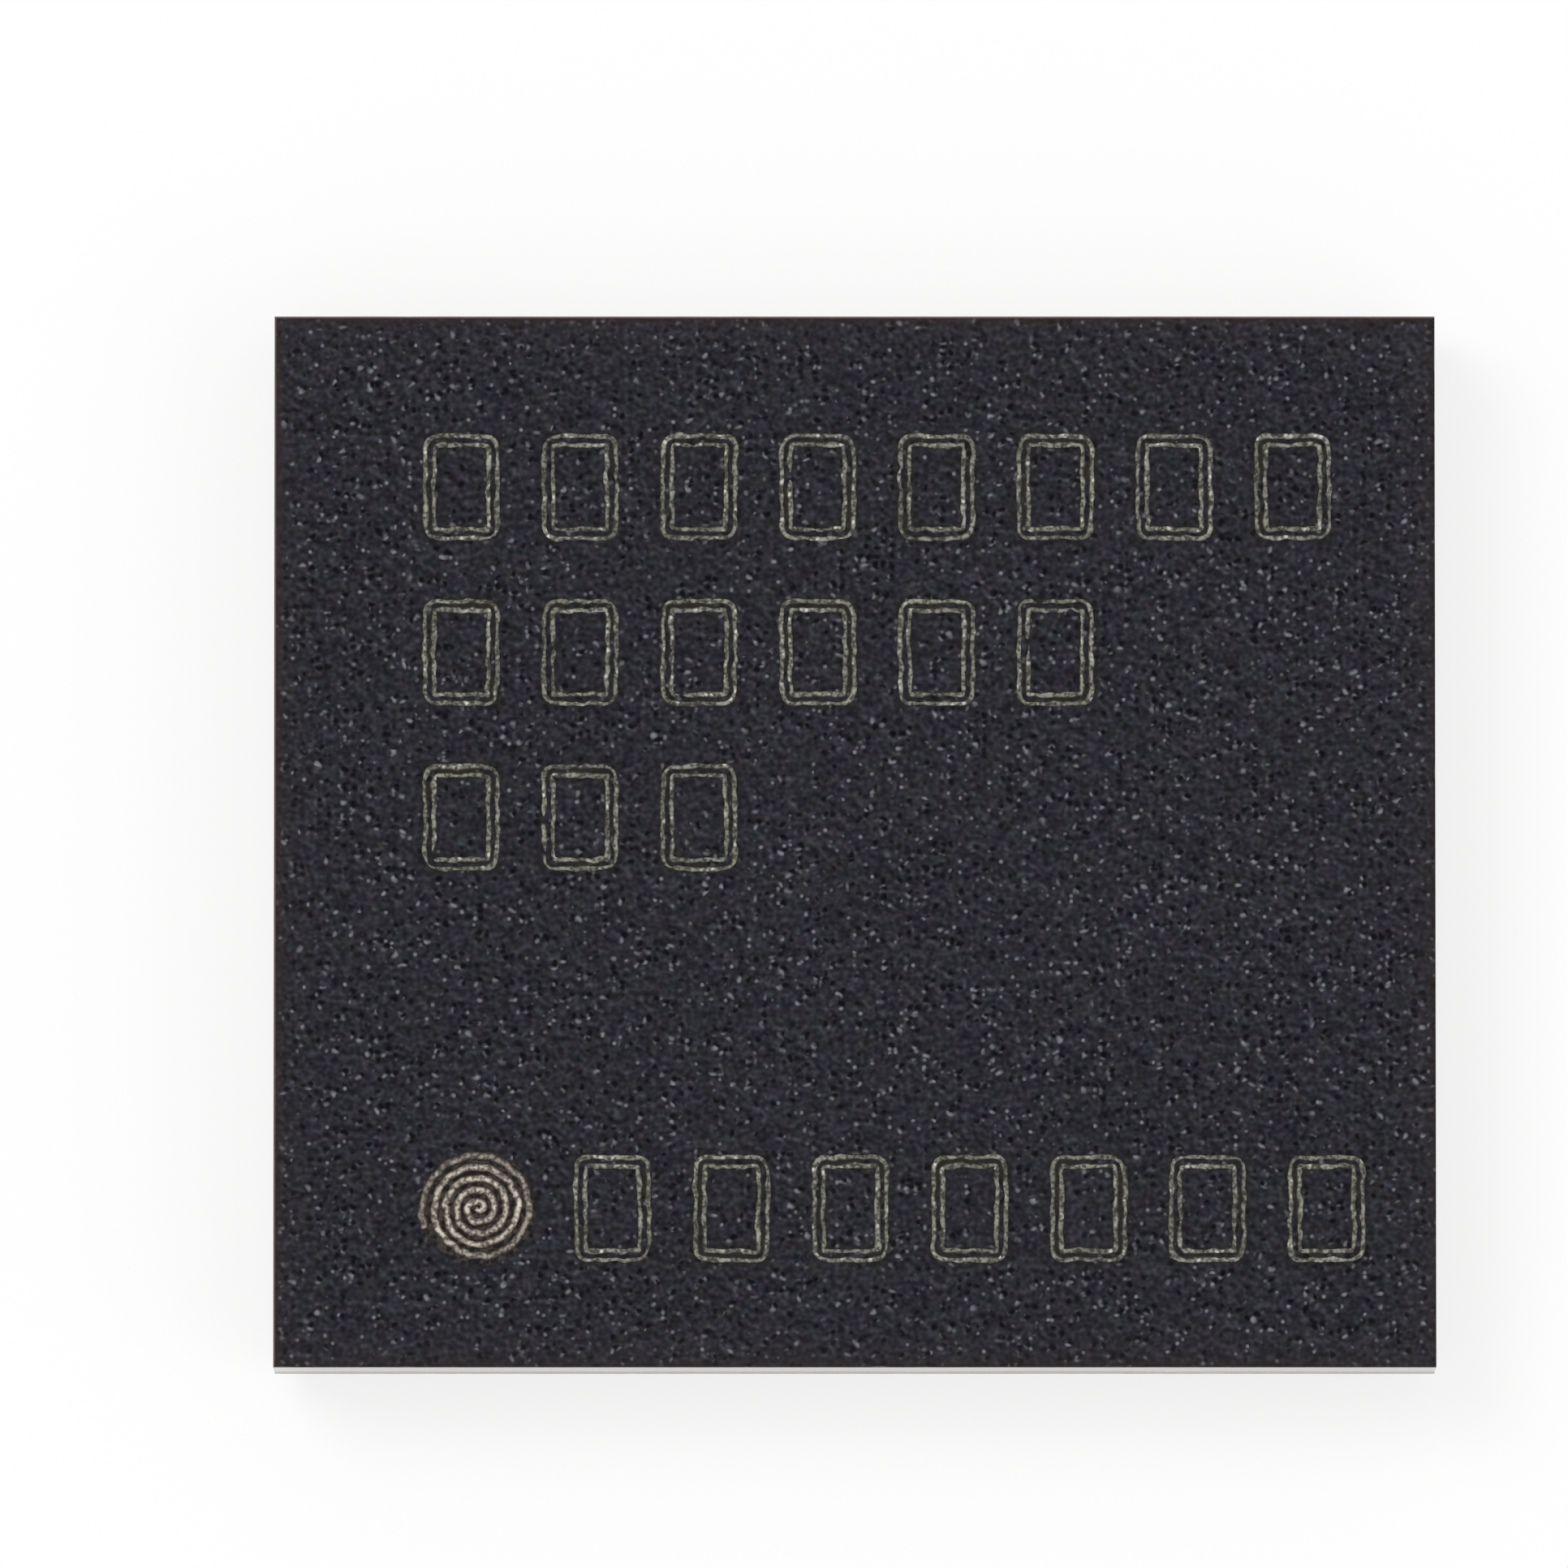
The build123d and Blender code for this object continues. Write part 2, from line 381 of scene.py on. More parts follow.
def mould_finish(mould, marks):
    """Dark moulding compound: fine grain and glass filler on top, saw marks on the sides.

    The grain is a noise less the same noise a little way off, so that each swell has a pale
    and a dark flank: painted light and shade, as if the swells were lit from one side. Painted
    pit shade and glints lie on the two flanks, each pushed about on its own; the glints are
    partly the glass filler's paler colour and partly painted highlight.
    """
    finish = Finish("moulding compound", Specular_IOR_Level=0.06, Coat_Roughness=0.08)
    burn = finish.attribute("burn")
    x, y, z = finish.axes()
    top_level = CAP_HIGH[2] - 14 * UM
    on_top = z.step(top_level - 2 * UM, top_level)

    # Grain with painted light and shade on its swells' flanks, painted pit shade, painted glints
    # beside the pits, and small loose dots
    here = finish.place((0.95, 1, 1))
    beyond = finish.place((0.95, 1, 1), FLANK_SHIFT)
    swell = finish.noise(finish.ruffled(here, 45 * UM, 11.5 * UM), SWELL_WAVE, 0.0)
    swell_beyond = finish.noise(finish.ruffled(beyond, 45 * UM, 11.5 * UM), SWELL_WAVE, 0.0)
    fine = finish.noise(finish.place((0.95, 1, 1.2)), 25 * UM, 0.0)
    # Painted light and shade: swell_beyond less swell is pale on one flank of each swell and dark
    # on the other
    grain = 0.5 + (swell_beyond - swell) * 0.36 + (fine - 0.5) * 0.34
    # Painted shade: dark pits on the shaded flanks of the swells
    reach, chance = finish.specks(finish.ruffled(here, 34 * UM, 12.8 * UM), SPECK_SPACING)
    painted_pit_shade = chance.step(0.30, 0.75) * reach.step(0.58, 0.16)
    # Glints on the pale flanks: partly the glass filler's paler colour, partly painted highlight
    reach, chance = finish.specks(finish.ruffled(beyond, 60 * UM, 21.8 * UM), SPECK_SPACING)
    filler_and_glints = chance.step(0.63, 1.04) * reach.step(0.47, 0.06)
    reach, chance = finish.specks(finish.place((1, 1, 1.3)), 30 * UM)
    dots = chance.step(0.86, 1.02) * reach.step(0.50, 0.08)

    # Colour of the top, calmer in the dot's disc, which the laser has sooted; its tone carries the
    # grain's painted light and shade
    tone = GRAIN_CONTRAST ** (grain - 0.5)
    disc = burn.step(0.3, 1.0)
    calm = 1 - disc * 0.85
    tint = finish.mix(0.14, mould.compound, finish.hues(finish.place(), 70 * UM, 2.0))
    shade = finish.mix(tone * 0.088, FLANK_SHADE_AND_DARK_GRAIN, tint)
    shade = finish.mix(dots * calm, shade, mould.filler)
    # Painted highlights: the glints, in the filler's colour
    shade = finish.mix(filler_and_glints * calm, shade, mould.filler)
    # Painted pit shade, laid over the glints so that each glint shows as a pale crescent beside
    # its pit
    shade = finish.mix(painted_pit_shade * 0.94, shade, PAINTED_PIT_SHADE)
    shade = finish.mix(burn.step(0, 0.3) * 0.35, shade, marks.burnt)
    soot = finish.noise(finish.place(), 30 * UM, 1.0).step(0.40, 0.64)
    shade = finish.mix(disc * 0.88, shade, finish.mix(soot, SOOT, ASH))

    # Bands along the top's edges: a tint and a darker band on all four sides, then painted light
    # on the bevel of the two sides that face the upper left light, a dark reddish band and a pale
    # painted highlight line at the very edge
    rim = finish.math("MINIMUM", CAP_HIGH[0] - abs(x), CAP_HIGH[1] - abs(y))
    lit = finish.math("MINIMUM", CAP_HIGH[0] + x, CAP_HIGH[1] - y)
    shade = finish.mix(rim.step(260 * UM, 0) * 0.12, shade, RIM_TINT)
    shade = finish.mix(rim.step(60 * UM, 20 * UM) * 0.45, shade, EDGE_BAND)
    shade = finish.mix(lit.step(26 * UM, 12 * UM) * 0.5, shade, PAINTED_LIT_BEVEL_BAND)
    shade = finish.mix(lit.step(12 * UM, 5 * UM) * 0.7, shade, PAINTED_BEVEL_HIGHLIGHT)

    # Sawn sides: level streaks, and grains of filler that the saw has cut through
    streaks = finish.noise(finish.place((0.02, 0.02, 1)), 14 * UM, 3.0, 0.6)
    reach, chance = finish.specks(finish.place(), 24 * UM)
    cut = reach.step(0.5, 0.34) * chance.step(0.35, 0.9)
    side = finish.mix(streaks.step(0.3, 0.7), SAWN_DARK, SAWN_PALE)
    side = finish.mix(cut * 0.4, side, CUT_FILLER)
    relief = on_top * grain * 2.5 + (1 - on_top) * streaks * 0.5
    return finish.paint(
        Base_Color=finish.mix(on_top, side, shade),
        Roughness=0.80 - 0.30 * grain,
        Coat_Weight=1 - on_top,
        Normal=finish.bump(relief, 3.0 * UM),
    )


def mark_finish(name, burnt, ridge_colour):
    """Compound that the laser has turned up: pale rough ridges beside a burnt groove."""
    finish = Finish(name, Specular_IOR_Level=0.15)
    where = finish.place()
    ridge = finish.attribute("ridge")
    fade = finish.attribute("fade")
    dots = finish.noise(where, 23 * UM, 1.0, 0.6).step(0.34, 0.66)
    broad = finish.noise(where, 160 * UM, 1.0).step(0.2, 0.8)
    share = ridge.step(0, 0.95) * (0.18 + 0.82 * dots) * (0.60 + 0.40 * broad) * fade
    reach, chance = finish.specks(finish.ruffled(where, 30 * UM, 5.1 * UM), 30 * UM)
    beads = chance.step(0.40, 0.95) * reach.step(0.50, 0.16) * ridge.step(0.3, 0.9)
    bead_colour = (0.74, 0.72, 0.66)
    colour = finish.mix(share, burnt, ridge_colour)
    colour = finish.mix(beads * fade, colour, bead_colour)
    return finish.paint(
        Base_Color=colour,
        Roughness=0.75 - 0.15 * dots,
        Normal=finish.bump(dots, 2.0 * UM),
    )


def mask_finish(mask):
    """Glossy green mask, nearly black over copper, with a paler line at each step."""
    deep_board, deep_metal = (0.0095, 0.0310, 0.0215), (0.0175, 0.0145, 0.0115)
    olive, slope, ring_line = (0.034, 0.034, 0.0105), (0.008, 0.026, 0.018), (0.030, 0.060, 0.050)
    speck = (0.22, 0.20, 0.17)
    finish = Finish("solder mask", Specular_IOR_Level=0.16)
    where = finish.place()
    edge = finish.attribute("copper_edge")
    ring = finish.attribute("ring_gap")
    x = finish.axes()[0]
    copper = edge.step(0.004, -0.004)
    mottle = finish.noise(where, 350 * UM, 3.0)
    peel = finish.noise(where, 60 * UM, 2.0)
    line = abs(edge).step(0.016, 0.004) * 0.5
    round_line = abs(ring).step(0.011, 0.003)
    rim = x.step(COPPER_LOW[0], 0.35 * COPPER_LOW[0] + 0.65 * MASK_LOW[0])
    board = finish.mix(mottle.step(0.3, 0.75), mask.over_board, deep_board)
    board = finish.mix(rim * 0.85, board, olive)
    metal = finish.mix(mottle.step(0.3, 0.7), mask.over_copper, deep_metal)
    colour = finish.mix(copper, board, metal)
    colour = finish.mix(line, colour, slope)
    colour = finish.mix(round_line * 0.7, colour, ring_line)
    reach, chance = finish.specks(where, 90 * UM)
    dust = chance.step(0.86, 0.95) * reach.step(0.12, 0.05)
    colour = finish.mix(dust * 0.5, colour, speck)
    return finish.paint(
        Base_Color=colour,
        Roughness=0.20 + 0.14 * mottle,
        Normal=finish.bump(peel + copper * 1.6 + round_line * 1.4, 2.0 * UM),
    )


def solder_finish(solder):
    """Tin solder: bright metal with a satin skin and a few dull patches, which are partly painted
    dark reflection; painted highlights on the skin and painted shade in small creases.
    """
    # Colours of the dull patches, partly painted dark reflection, of the painted highlights and of
    # the painted shade in creases
    dull_and_dark_reflection, painted_highlight, painted_crease_shade = (0.24, 0.225, 0.210), (0.90, 0.89, 0.86), (0.15, 0.14, 0.13)
    finish = Finish("solder", Metallic=1.0)
    where = finish.place()
    patches = finish.noise(where, 90 * UM, 1.0)
    skin = finish.noise(where, 34 * UM, 3.0, 0.6)
    folds = finish.noise(where, 95 * UM, 0.0)
    dull = patches.step(0.44, 0.62)
    crease_shade_share = abs(folds - 0.5).step(0.040, 0) * dull
    # Dull patches with painted dark reflection, painted highlights on the bright skin, painted
    # shade in the creases
    colour = finish.mix(dull * 0.75, solder.solder, dull_and_dark_reflection)
    colour = finish.mix(skin.step(0.56, 0.72) * (1 - dull) * 0.8, colour, painted_highlight)
    colour = finish.mix(crease_shade_share * 0.5, colour, painted_crease_shade)
    return finish.paint(
        Base_Color=colour,
        Roughness=0.16 + 0.30 * patches,
        Normal=finish.bump(patches * 0.9 + skin * 0.12, 11.0 * UM),
    )


def laminate_finish(laminate):
    """Glass-epoxy: flattened bundles of glass in brown resin, in layers."""
    bare_fibre, dark_fibre = (0.62, 0.50, 0.34), (0.20, 0.11, 0.055)
    outer_resin = (0.22, 0.12, 0.065)
    half_core = 65 * UM
    finish = Finish("laminate", Specular_IOR_Level=0.4, Coat_Weight=0.58, Coat_Roughness=0.10)
    height = finish.axes()[2]
    bundles = finish.noise(finish.place((0.16, 0.16, 1)), 30 * UM, 1.0)
    fibres = finish.noise(finish.place((1, 1, 1.6)), 9 * UM, 2.0, 0.6)
    layer = abs((height - CAP_LOW[2] + half_core) * (1 / half_core))
    weave = bundles.step(0.30, 0.72) * layer.step(1.0, 0.72)
    colour = finish.mix(weave * 0.7, laminate.resin, laminate.glass)
    colour = finish.mix(fibres.step(0.50, 0.66) * weave * 0.5, colour, bare_fibre)
    colour = finish.mix(fibres.step(0.50, 0.34) * 0.4, colour, dark_fibre)
    colour = finish.mix(layer.step(0.84, 0.97) * 0.7, colour, outer_resin)
    return finish.paint(
        Base_Color=colour,
        Roughness=0.50 + 0.2 * fibres,
        Normal=finish.bump(fibres + weave, 2.0 * UM),
    )


def copper_finish(laminate):
    """Rolled copper with a brushed grain and darker, oxidised patches."""
    oxidised = (0.42, 0.17, 0.09)
    finish = Finish("copper", Metallic=1.0)
    grain = finish.noise(finish.place((0.1, 1, 1)), 12 * UM, 3.0)
    patches = finish.noise(finish.place(), 220 * UM, 3.0)
    colour = finish.mix(patches.step(0.35, 0.7), laminate.copper, oxidised)
    return finish.paint(
        Base_Color=colour,
        Roughness=0.30 + 0.2 * grain,
        Normal=finish.bump(grain, 1.0 * UM),
    )


def silicon_finish():
    """Ground silicon: grey-blue, with fine crossing grinding marks."""
    hollow, ground = (0.16, 0.17, 0.20), (0.30, 0.31, 0.34)
    finish = Finish("silicon", Metallic=0.85)
    one_way = finish.noise(finish.place((0.04, 1, 1)), 8 * UM, 2.0)
    other_way = finish.noise(finish.place((1, 0.04, 1)), 11 * UM, 2.0)
    marks = one_way * 0.6 + other_way * 0.4
    colour = finish.mix(marks, hollow, ground)
    return finish.paint(
        Base_Color=colour,
        Roughness=0.22 + 0.2 * marks,
        Normal=finish.bump(marks, 0.8 * UM),
    )


# Surfaces

def ease(value, low, high):
    """0 at low, 1 at high and 3t^2 - 2t^3 between."""
    t = np.clip((value - low) / (high - low), 0, 1)
    return t * t * (3 - 2 * t)


def blurred_noise(rng, shape, reach):
    """White noise averaged three times over 2 reach + 1 cells each way, with a deviation of 1."""
    field = rng.standard_normal(shape)
    for axis in (0, 1):
        for _ in range(3):
            field = sum(np.roll(field, k, axis) for k in range(-reach, reach + 1))
    return (field - field.mean()) / field.std()


def box_distance(x, y, centre_x, centre_y, half_x, half_y):
    """Distance outside a rectangle's sides, below zero inside: the greater of the two axes'."""
    return np.maximum(abs(x - centre_x) - half_x, abs(y - centre_y) - half_y)


def spread(low, high, cell):
    """Places from low to high, evenly and about a cell apart."""
    return np.linspace(low, high, round((high - low) / cell) + 1)


def quads(*corner_grids):
    """Faces from grids of point numbers: one grid for each corner."""
    return np.stack([grid.ravel() for grid in corner_grids], -1)


def round_faces(rings, around):
    """Faces of a surface of rings of points about a pole, which is point 0: a fan about the
    pole, the bands between the rings, and one face on the last ring's points."""
    index = 1 + np.arange(rings * around).reshape(rings, around)
    after = np.roll(index, -1, 1)
    fan = np.stack([np.zeros(around, int), after[0], index[0]], -1)
    return fan, quads(index[:-1], after[:-1], after[1:], index[1:]), index[-1:]


def new_piece(name, points, faces, smooth, values=None):
    """A piece from points and from arrays of faces of equal corner count, with point values."""
    mesh = bpy.data.meshes.new(name)
    corner_lists = [np.asarray(group) for group in faces]
    totals = np.concatenate([np.full(len(g), g.shape[1]) for g in corner_lists])
    mesh.vertices.add(len(points))
    mesh.vertices.foreach_set("co", np.asarray(points, np.float32).ravel())
    mesh.loops.add(int(totals.sum()))
    mesh.loops.foreach_set("vertex_index", np.concatenate([g.ravel() for g in corner_lists]))
    mesh.polygons.add(len(totals))
    mesh.polygons.foreach_set("loop_start", np.cumsum(totals) - totals)
    mesh.polygons.foreach_set("loop_total", totals)
    shading = np.concatenate([np.full(len(g), s) for g, s in zip(corner_lists, smooth)])
    mesh.polygons.foreach_set("use_smooth", shading)
    for key, numbers in (values or {}).items():
        layer = mesh.attributes.new(key, "FLOAT", "POINT")
        layer.data.foreach_set("value", np.asarray(numbers, np.float32).ravel())
    mesh.update(calc_edges=True)
    if mesh.validate():
        raise RuntimeError(f"the mesh of {name} had faults")
    piece = bpy.data.objects.new(name, mesh)
    bpy.context.scene.collection.objects.link(piece)
    return piece


def slab(name, xs, ys, heights, far, levels, uneven, values):
    """Closed slab: point (i, j) is at (xs[i], ys[j], heights[j, i]).

    Each level is a copy of the rim, moved inwards by the unevenness and along Z by the
    level's share of the way to the far height. One flat face closes the far side.
    """
    columns, rows = len(xs), len(ys)
    index = np.arange(columns * rows).reshape(rows, columns)
    rim = np.concatenate([index[0, :-1], index[:-1, -1], index[-1, :0:-1], index[:0:-1, 0]])
    grid_x, grid_y = np.meshgrid(xs, ys)
    top = np.stack([grid_x, grid_y, heights], -1).reshape(-1, 3)
    out = np.sign(top[rim, :2]) * (abs(top[rim, :2]) >= abs(top[rim, :2]).max(0))
    sheets = [top]
    for share, shift in zip(levels, uneven):
        ring = top[rim].copy()
        ring[:, :2] -= out * shift[:, None]
        ring[:, 2] += share * (far - ring[:, 2])
        sheets.append(ring)
    starts = len(top) + len(rim) * np.arange(len(levels))[:, None] + np.arange(len(rim))
    rings = np.vstack([rim, starts])
    after = np.roll(rings, -1, 1)
    faces = [
        quads(index[:-1, :-1], index[:-1, 1:], index[1:, 1:], index[1:, :-1]),
        quads(rings[:-1], rings[1:], after[1:], after[:-1]),
        rings[-1:, ::-1],
    ]
    if far > heights.mean():
        faces = [group[:, ::-1] for group in faces]
    carried = {
        key: np.concatenate([grid.ravel()] + [grid.ravel()[rim]] * len(levels))
        for key, grid in values.items()
    }
    return new_piece(name, np.concatenate(sheets), faces, (True, True, False), carried)


def carry(path, closed, across, lift, depth):
    """Strip carried along a path: point (k, j) is path[k] plus across[k, j] along the path's
    left-hand normal, at height lift[k, j]. Two more points close it at the depth below."""
    if closed:
        along = np.roll(path, -1, 0) - np.roll(path, 1, 0)
    else:
        along = np.gradient(path, axis=0)
    along /= np.linalg.norm(along, axis=1)[:, None]
    left = np.stack([-along[:, 1], along[:, 0]], -1)
    reach = np.concatenate([across, across[:, [-1, 0]]], 1)
    place = path[:, None] + left[:, None] * reach[..., None]
    under = np.full((len(path), 2), depth)
    level = np.concatenate([lift, under], 1)
    points = np.concatenate([place, level[..., None]], -1)
    index = np.arange(points.shape[0] * points.shape[1]).reshape(points.shape[:2])
    ahead = np.roll(index, -1, 0)
    if not closed:
        index, ahead = index[:-1], ahead[:-1]
    sides = quads(index, np.roll(index, -1, 1), np.roll(ahead, -1, 1), ahead)
    ends = np.empty((0, reach.shape[1]), int)
    if not closed:
        ends = np.array([index[0][::-1], ahead[-1]])
    return points.reshape(-1, 3), sides[:, ::-1], ends[:, ::-1]


def even_path(path, closed, spacing):
    """The same line with points at equal distances of about the spacing."""
    line = np.vstack([path, path[:1]]) if closed else path
    reach = np.concatenate([[0], np.cumsum(np.linalg.norm(np.diff(line, axis=0), axis=1))])
    stops = np.linspace(0, reach[-1], round(reach[-1] / spacing), endpoint=not closed)
    return np.stack([np.interp(stops, reach, line[:, k]) for k in (0, 1)], -1)


# Laser marks: four lines of blank cells, and a spiral dot at the package's first corner

MARK_LINES = (
    (-2.216 * MM, 1.821 * MM, 8),
    (-2.216 * MM, 0.970 * MM, 6),
    (-2.216 * MM, 0.121 * MM, 3),
    (-1.439 * MM, -1.886 * MM, 7),
)
DOT_CENTRE = np.array([-1.925, -1.886]) * MM
DOT_TURNS = 5.05
DOT_END = math.radians(200)
DOT_GROOVE, DOT_RIDGE = (0.032, 0.026, 0.022), (0.95, 0.85, 0.72)
HALO = 40 * UM
STROKE_TOP = CAP_HIGH[2] - 0.2 * UM
STROKE_FOOT = STROKE_TOP - 14 * UM
RIDGE_HEIGHT = 8 * UM


def cell_centres(marks):
    """Centre of every blank cell, line by line."""
    places = [
        (left + marks.cell_width / 2 + k * marks.cell_pitch, y)
        for left, y, count in MARK_LINES
        for k in range(count)
    ]
    return np.array(places)


def cell_halves(marks):
    """Half the width and half the height of a cell's centre line."""
    return (marks.cell_width - marks.stroke) / 2, (marks.cell_height - marks.stroke) / 2


def mark_reach(marks, x, y):
    """Distance from the nearest stroke and from the dot's disc, each below zero on it."""
    half_x, half_y = cell_halves(marks)
    nearest = np.full(x.shape, 1.0)
    for centre_x, centre_y in cell_centres(marks):
        frame_gap = abs(box_distance(x, y, centre_x, centre_y, half_x, half_y))
        nearest = np.minimum(nearest, frame_gap - marks.stroke / 2)
    disc = np.hypot(x - DOT_CENTRE[0], y - DOT_CENTRE[1]) - marks.dot_radius
    return nearest, disc


def ridge_level(height):
    """Z of a stroke's surface, from its ridges' height: 1 at their tops, 0 at their feet."""
    return STROKE_TOP - RIDGE_HEIGHT * (1 - height)


class CHIP_OT_mould_cap(bpy.types.Operator):
    """Mould cap: a grained top on a fine grid, over four sawn sides"""

    bl_idname = "chip.mould_cap"
    bl_label = "Mould Cap"

    def execute(self, context):
        mould, marks = context.scene.chip_mould, context.scene.chip_marks
        rng = np.random.default_rng(11)
        xs = spread(CAP_LOW[0], CAP_HIGH[0], mould.cell)
        ys = spread(CAP_LOW[1], CAP_HIGH[1], mould.cell)
        x, y = np.meshgrid(xs, ys)
        grain = 0.8 * blurred_noise(rng, x.shape, 1) + 0.4 * blurred_noise(rng, x.shape, 5)
        stroke, disc = mark_reach(marks, x, y)
        halo = 0.3 * (1 - ease(stroke, 0, HALO))
        burn = np.maximum(halo, 1 - ease(disc, -0.2 * HALO, 0.6 * HALO))
        # How far the top lies below the solid's, as a share of the grain's depth
        sunk = 1.2 + 0.35 * np.clip(grain, -2.4, 2.4) + 0.5 * burn
        side = np.minimum(CAP_HIGH[0] - abs(x), CAP_HIGH[1] - abs(y))
        sunk = sunk + 1.4 * (1 - ease(side, 0, 1.5 * mould.cell))
        heights = CAP_HIGH[2] - mould.grain * np.clip(sunk, 0.1, 4)
        # Shares of the way down the sides; the last level stays flush with the laminate
        levels = np.array([0.02, 0.10, 0.22, 0.34, 0.46, 0.58, 0.70, 0.82, 0.94, 1.0])
        around = 2 * (len(xs) + len(ys)) - 4
        grooves = rng.uniform(0, 1, (len(levels), 1))
        drift = np.abs(blurred_noise(rng, (len(levels), around), 12)).clip(0, 2) / 2
        uneven = mould.sawn * (0.2 * grooves + 0.5 * drift)
        uneven[-1] = 0
        piece = slab("mould_cap_skin", xs, ys, heights, CAP_LOW[2], levels, uneven, {"burn": burn})
        piece.data.materials.append(mould_finish(mould, marks))
        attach(piece, "root")
        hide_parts("mould_cap")
        return {"FINISHED"}


class CHIP_OT_mark_cells(bpy.types.Operator):
    """Laser-marked cells: hollow rectangles in double strokes, with nothing in them"""

    bl_idname = "chip.mark_cells"
    bl_label = "Mark Cells"

    def execute(self, context):
        marks = context.scene.chip_marks
        rng = np.random.default_rng(23)
        half_x, half_y = cell_halves(marks)
        turn = np.linspace(0, FULL_TURN, 720, endpoint=False)
        squareness, spacing, wobble = 0.16, 11 * UM, 3.2 * UM
        outline = np.stack([
            half_x * np.sign(np.cos(turn)) * abs(np.cos(turn)) ** squareness,
            half_y * np.sign(np.sin(turn)) * abs(np.sin(turn)) ** squareness,
        ], -1)
        outline = even_path(outline, True, spacing)
        across = np.array([0, 0.24, 0.42, 0.62, 0.82, 1]) * marks.stroke / 2
        ridge = np.array([0, 0.15, 0.85, 1, 0.85, 0])
        across = np.concatenate([-across[:0:-1], across])
        ridge = np.concatenate([ridge[:0:-1], ridge])
        points, sides, ridges = [], [], []
        start = 0
        for centre in cell_centres(marks):
            rough = blurred_noise(rng, (len(outline), len(across)), 1)
            sway = blurred_noise(rng, (len(outline), len(across)), 1)
            height = ridge * (0.76 + 0.24 * np.tanh(rough))
            made, faces, _ = carry(outline + centre, True, across + wobble * sway,
                                   ridge_level(height), STROKE_FOOT)
            points.append(made)
            sides.append(faces + start)
            ridges.append(np.concatenate([height, np.zeros((len(outline), 2))], 1).ravel())
            start += len(made)
        ridges = np.concatenate(ridges)
        piece = new_piece("laser_mark_cells", np.concatenate(points), [np.concatenate(sides)],
                          (True,), {"ridge": ridges, "fade": np.ones_like(ridges)})
        piece.data.materials.append(mark_finish("laser marks", marks.burnt, marks.ridge))
        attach(piece, "root")
        return {"FINISHED"}


class CHIP_OT_first_corner_dot(bpy.types.Operator):
    """Dot at the first corner: one laser line that winds inwards"""

    bl_idname = "chip.first_corner_dot"
    bl_label = "First Corner Dot"

    def execute(self, context):
        marks = context.scene.chip_marks
        rng = np.random.default_rng(31)
        spacing, half_ridge, path_wobble, edge_wobble = 9 * UM, 22 * UM, 2.6 * UM, 2.2 * UM
        turn = np.linspace(-DOT_TURNS * FULL_TURN, 0, 2400)
        radius = marks.dot_radius + marks.dot_pitch * turn / FULL_TURN
        line = np.stack([radius * np.cos(turn + DOT_END), radius * np.sin(turn + DOT_END)], -1)
        path = even_path(line, False, spacing)
        path = path + path_wobble * blurred_noise(rng, path.shape, 1) + DOT_CENTRE
        across = np.array([-1, -0.5, 0, 0.5, 1]) * half_ridge
        rough = blurred_noise(rng, (len(path), len(across)), 1)
        across = across + edge_wobble * blurred_noise(rng, rough.shape, 1)
        height = np.array([0, 0.56, 1, 0.56, 0]) * (0.86 + 0.14 * np.tanh(rough))
        points, sides, ends = carry(path, False, across, ridge_level(height), STROKE_FOOT)
        ridges = np.concatenate([height, np.zeros((len(path), 2))], 1)
        reach = np.linalg.norm(path - DOT_CENTRE, axis=1)
        fade = 1 - 0.50 * ease(reach, marks.dot_radius - 66 * UM, marks.dot_radius - 36 * UM)
        fades = np.repeat(fade, ridges.shape[1])
        piece = new_piece("first_corner_dot", points, [sides, ends], (True, False),
                          {"ridge": ridges.ravel(), "fade": fades})
        piece.data.materials.append(mark_finish("laser dot", DOT_GROOVE, DOT_RIDGE))
        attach(piece, "root")
        return {"FINISHED"}


# Copper pattern on the ball side: each island is the ball that it carries, as row and column,
# then how far it reaches from that ball's centre towards -X, +X, -Y and +Y, in millimetres

ROW_LETTERS = "abcdefghjklmnprtuvwy"
ISLANDS = (
    ("j", 0, 0.30, 0.15, 0.24, 0.13),
    ("k", 1, 0.35, 0.15, 0.10, 0.13),
    ("k", 1, 0.08, 0.15, 0.21, 0.13),
    ("l", 0, 0.30, 0.15, 0.13, 0.33),
    ("n", 0, 0.28, 0.13, 0.13, 0.35),
    ("r", 0, 0.15, 0.13, 0.13, 0.18),
    ("r", 2, 0.38, 0.00, 0.09, 0.08),
    ("u", 0, 0.30, 0.13, 0.15, 0.20),
    ("u", 2, 0.39, 0.00, 0.17, 0.10),
)
PAD_RADIUS = 0.145 * MM
STRIP_LEAD = 0.062 * MM
NOTCH_LENGTH = 0.28 * MM
NOTCH_WIDTH = 0.26 * MM
MARK_HALF_X = 0.10 * MM
MARK_HALF_Y = 0.09 * MM
MARK_LINE = 0.035 * MM


def between(x, y, x1, y1, x2, y2):
    """Distance outside the rectangle between two corners."""
    middle_x, middle_y = (x1 + x2) / 2, (y1 + y2) / 2
    return box_distance(x, y, middle_x, middle_y, abs(x2 - x1) / 2, abs(y2 - y1) / 2)


